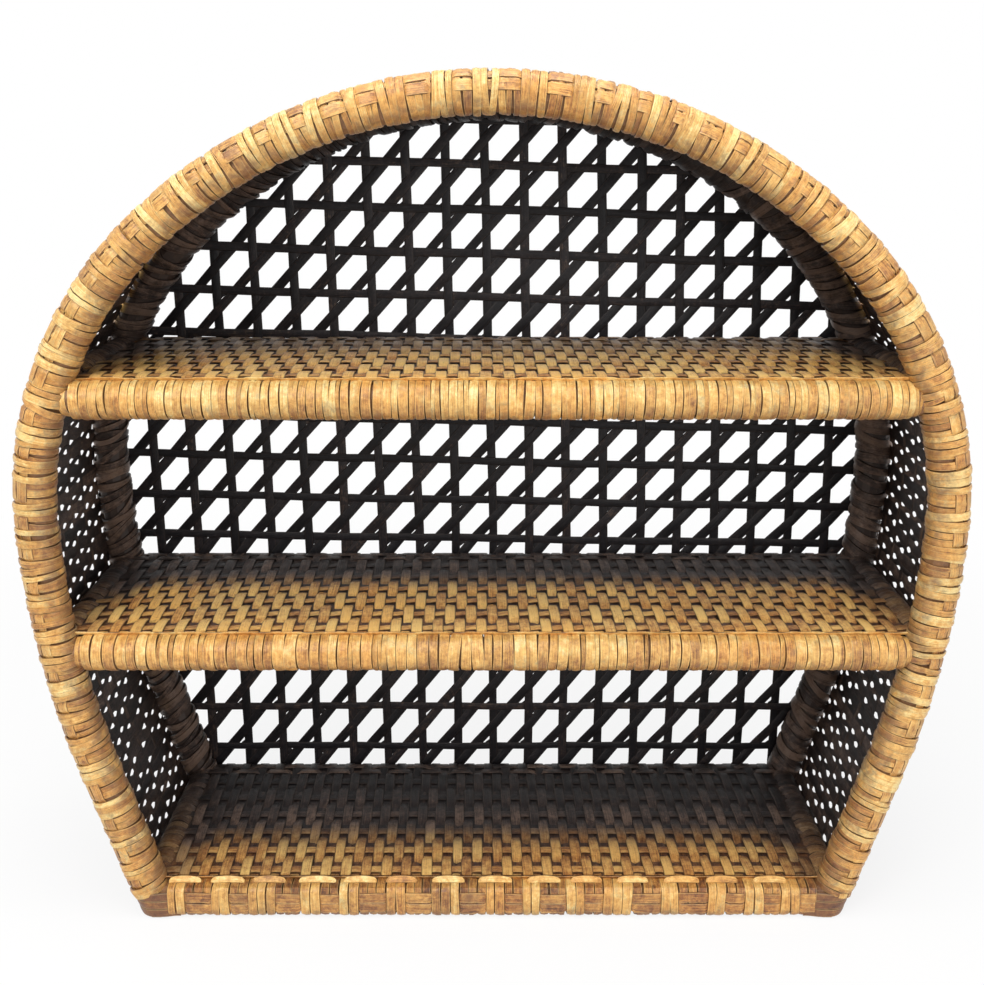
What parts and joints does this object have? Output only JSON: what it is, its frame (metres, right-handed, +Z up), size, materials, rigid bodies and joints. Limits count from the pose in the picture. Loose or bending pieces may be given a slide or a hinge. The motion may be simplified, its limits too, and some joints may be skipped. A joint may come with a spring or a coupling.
{
  "type": "wall shelf",
  "caption": "Arched rattan wall shelf with bound pole hoops, woven decks, a woven side wall and a cane lattice back.",
  "frame": {"origin": "centre of the shelf's footprint on the surface that it stands on", "axes": "+X to the right as seen from the front, +Y towards the wall, +Z up; the open front faces -Y"},
  "size_m": [0.6698, 0.197, 0.6184],
  "materials": {
    "pole": "satin rattan pole",
    "golden_peel": "glossy golden rattan peel with brown stains",
    "brown_peel": "satin dark brown stained peel",
    "pale_trim": "satin pale peel strip",
    "deck_weave": "satin brown plain weave",
    "wall_weave": "satin dark brown plain weave",
    "dark_cane": "satin near-black cane",
    "nail": "plain steel"
  },
  "bodies": {
    "root": {"front_hoop": "pole", "back_hoop": "pole", "front_hoop_binding": "golden_peel", "back_hoop_binding": "brown_peel", "bottom_front_rail": "pole", "middle_front_rail": "pole", "upper_front_rail": "pole", "bottom_rear_rail": "pole", "middle_rear_rail": "pole", "upper_rear_rail": "pole", "bottom_front_rail_binding": "golden_peel", "middle_front_rail_binding": "golden_peel", "upper_front_rail_binding": "golden_peel", "bottom_left_cross_bar": "pole", "bottom_right_cross_bar": "pole", "middle_left_cross_bar": "pole", "middle_right_cross_bar": "pole", "upper_left_cross_bar": "pole", "upper_right_cross_bar": "pole", "bottom_left_cross_bar_binding": "brown_peel", "bottom_right_cross_bar_binding": "brown_peel", "middle_left_cross_bar_binding": "brown_peel", "middle_right_cross_bar_binding": "brown_peel", "upper_left_cross_bar_binding": "brown_peel", "upper_right_cross_bar_binding": "brown_peel", "bottom_deck": "deck_weave", "middle_deck": "deck_weave", "upper_deck": "deck_weave", "bottom_deck_trim": "pale_trim", "middle_deck_trim": "pale_trim", "upper_deck_trim": "pale_trim", "side_wall": "wall_weave", "back_lattice": "dark_cane", "bottom_front_rail_left_nail": "nail", "bottom_front_rail_right_nail": "nail", "middle_front_rail_left_nail": "nail", "middle_front_rail_right_nail": "nail", "upper_front_rail_left_nail": "nail", "upper_front_rail_right_nail": "nail", "bottom_rear_rail_left_nail": "nail", "bottom_rear_rail_right_nail": "nail", "middle_rear_rail_left_nail": "nail", "middle_rear_rail_right_nail": "nail", "upper_rear_rail_left_nail": "nail", "upper_rear_rail_right_nail": "nail"}
  },
  "joints": []
}
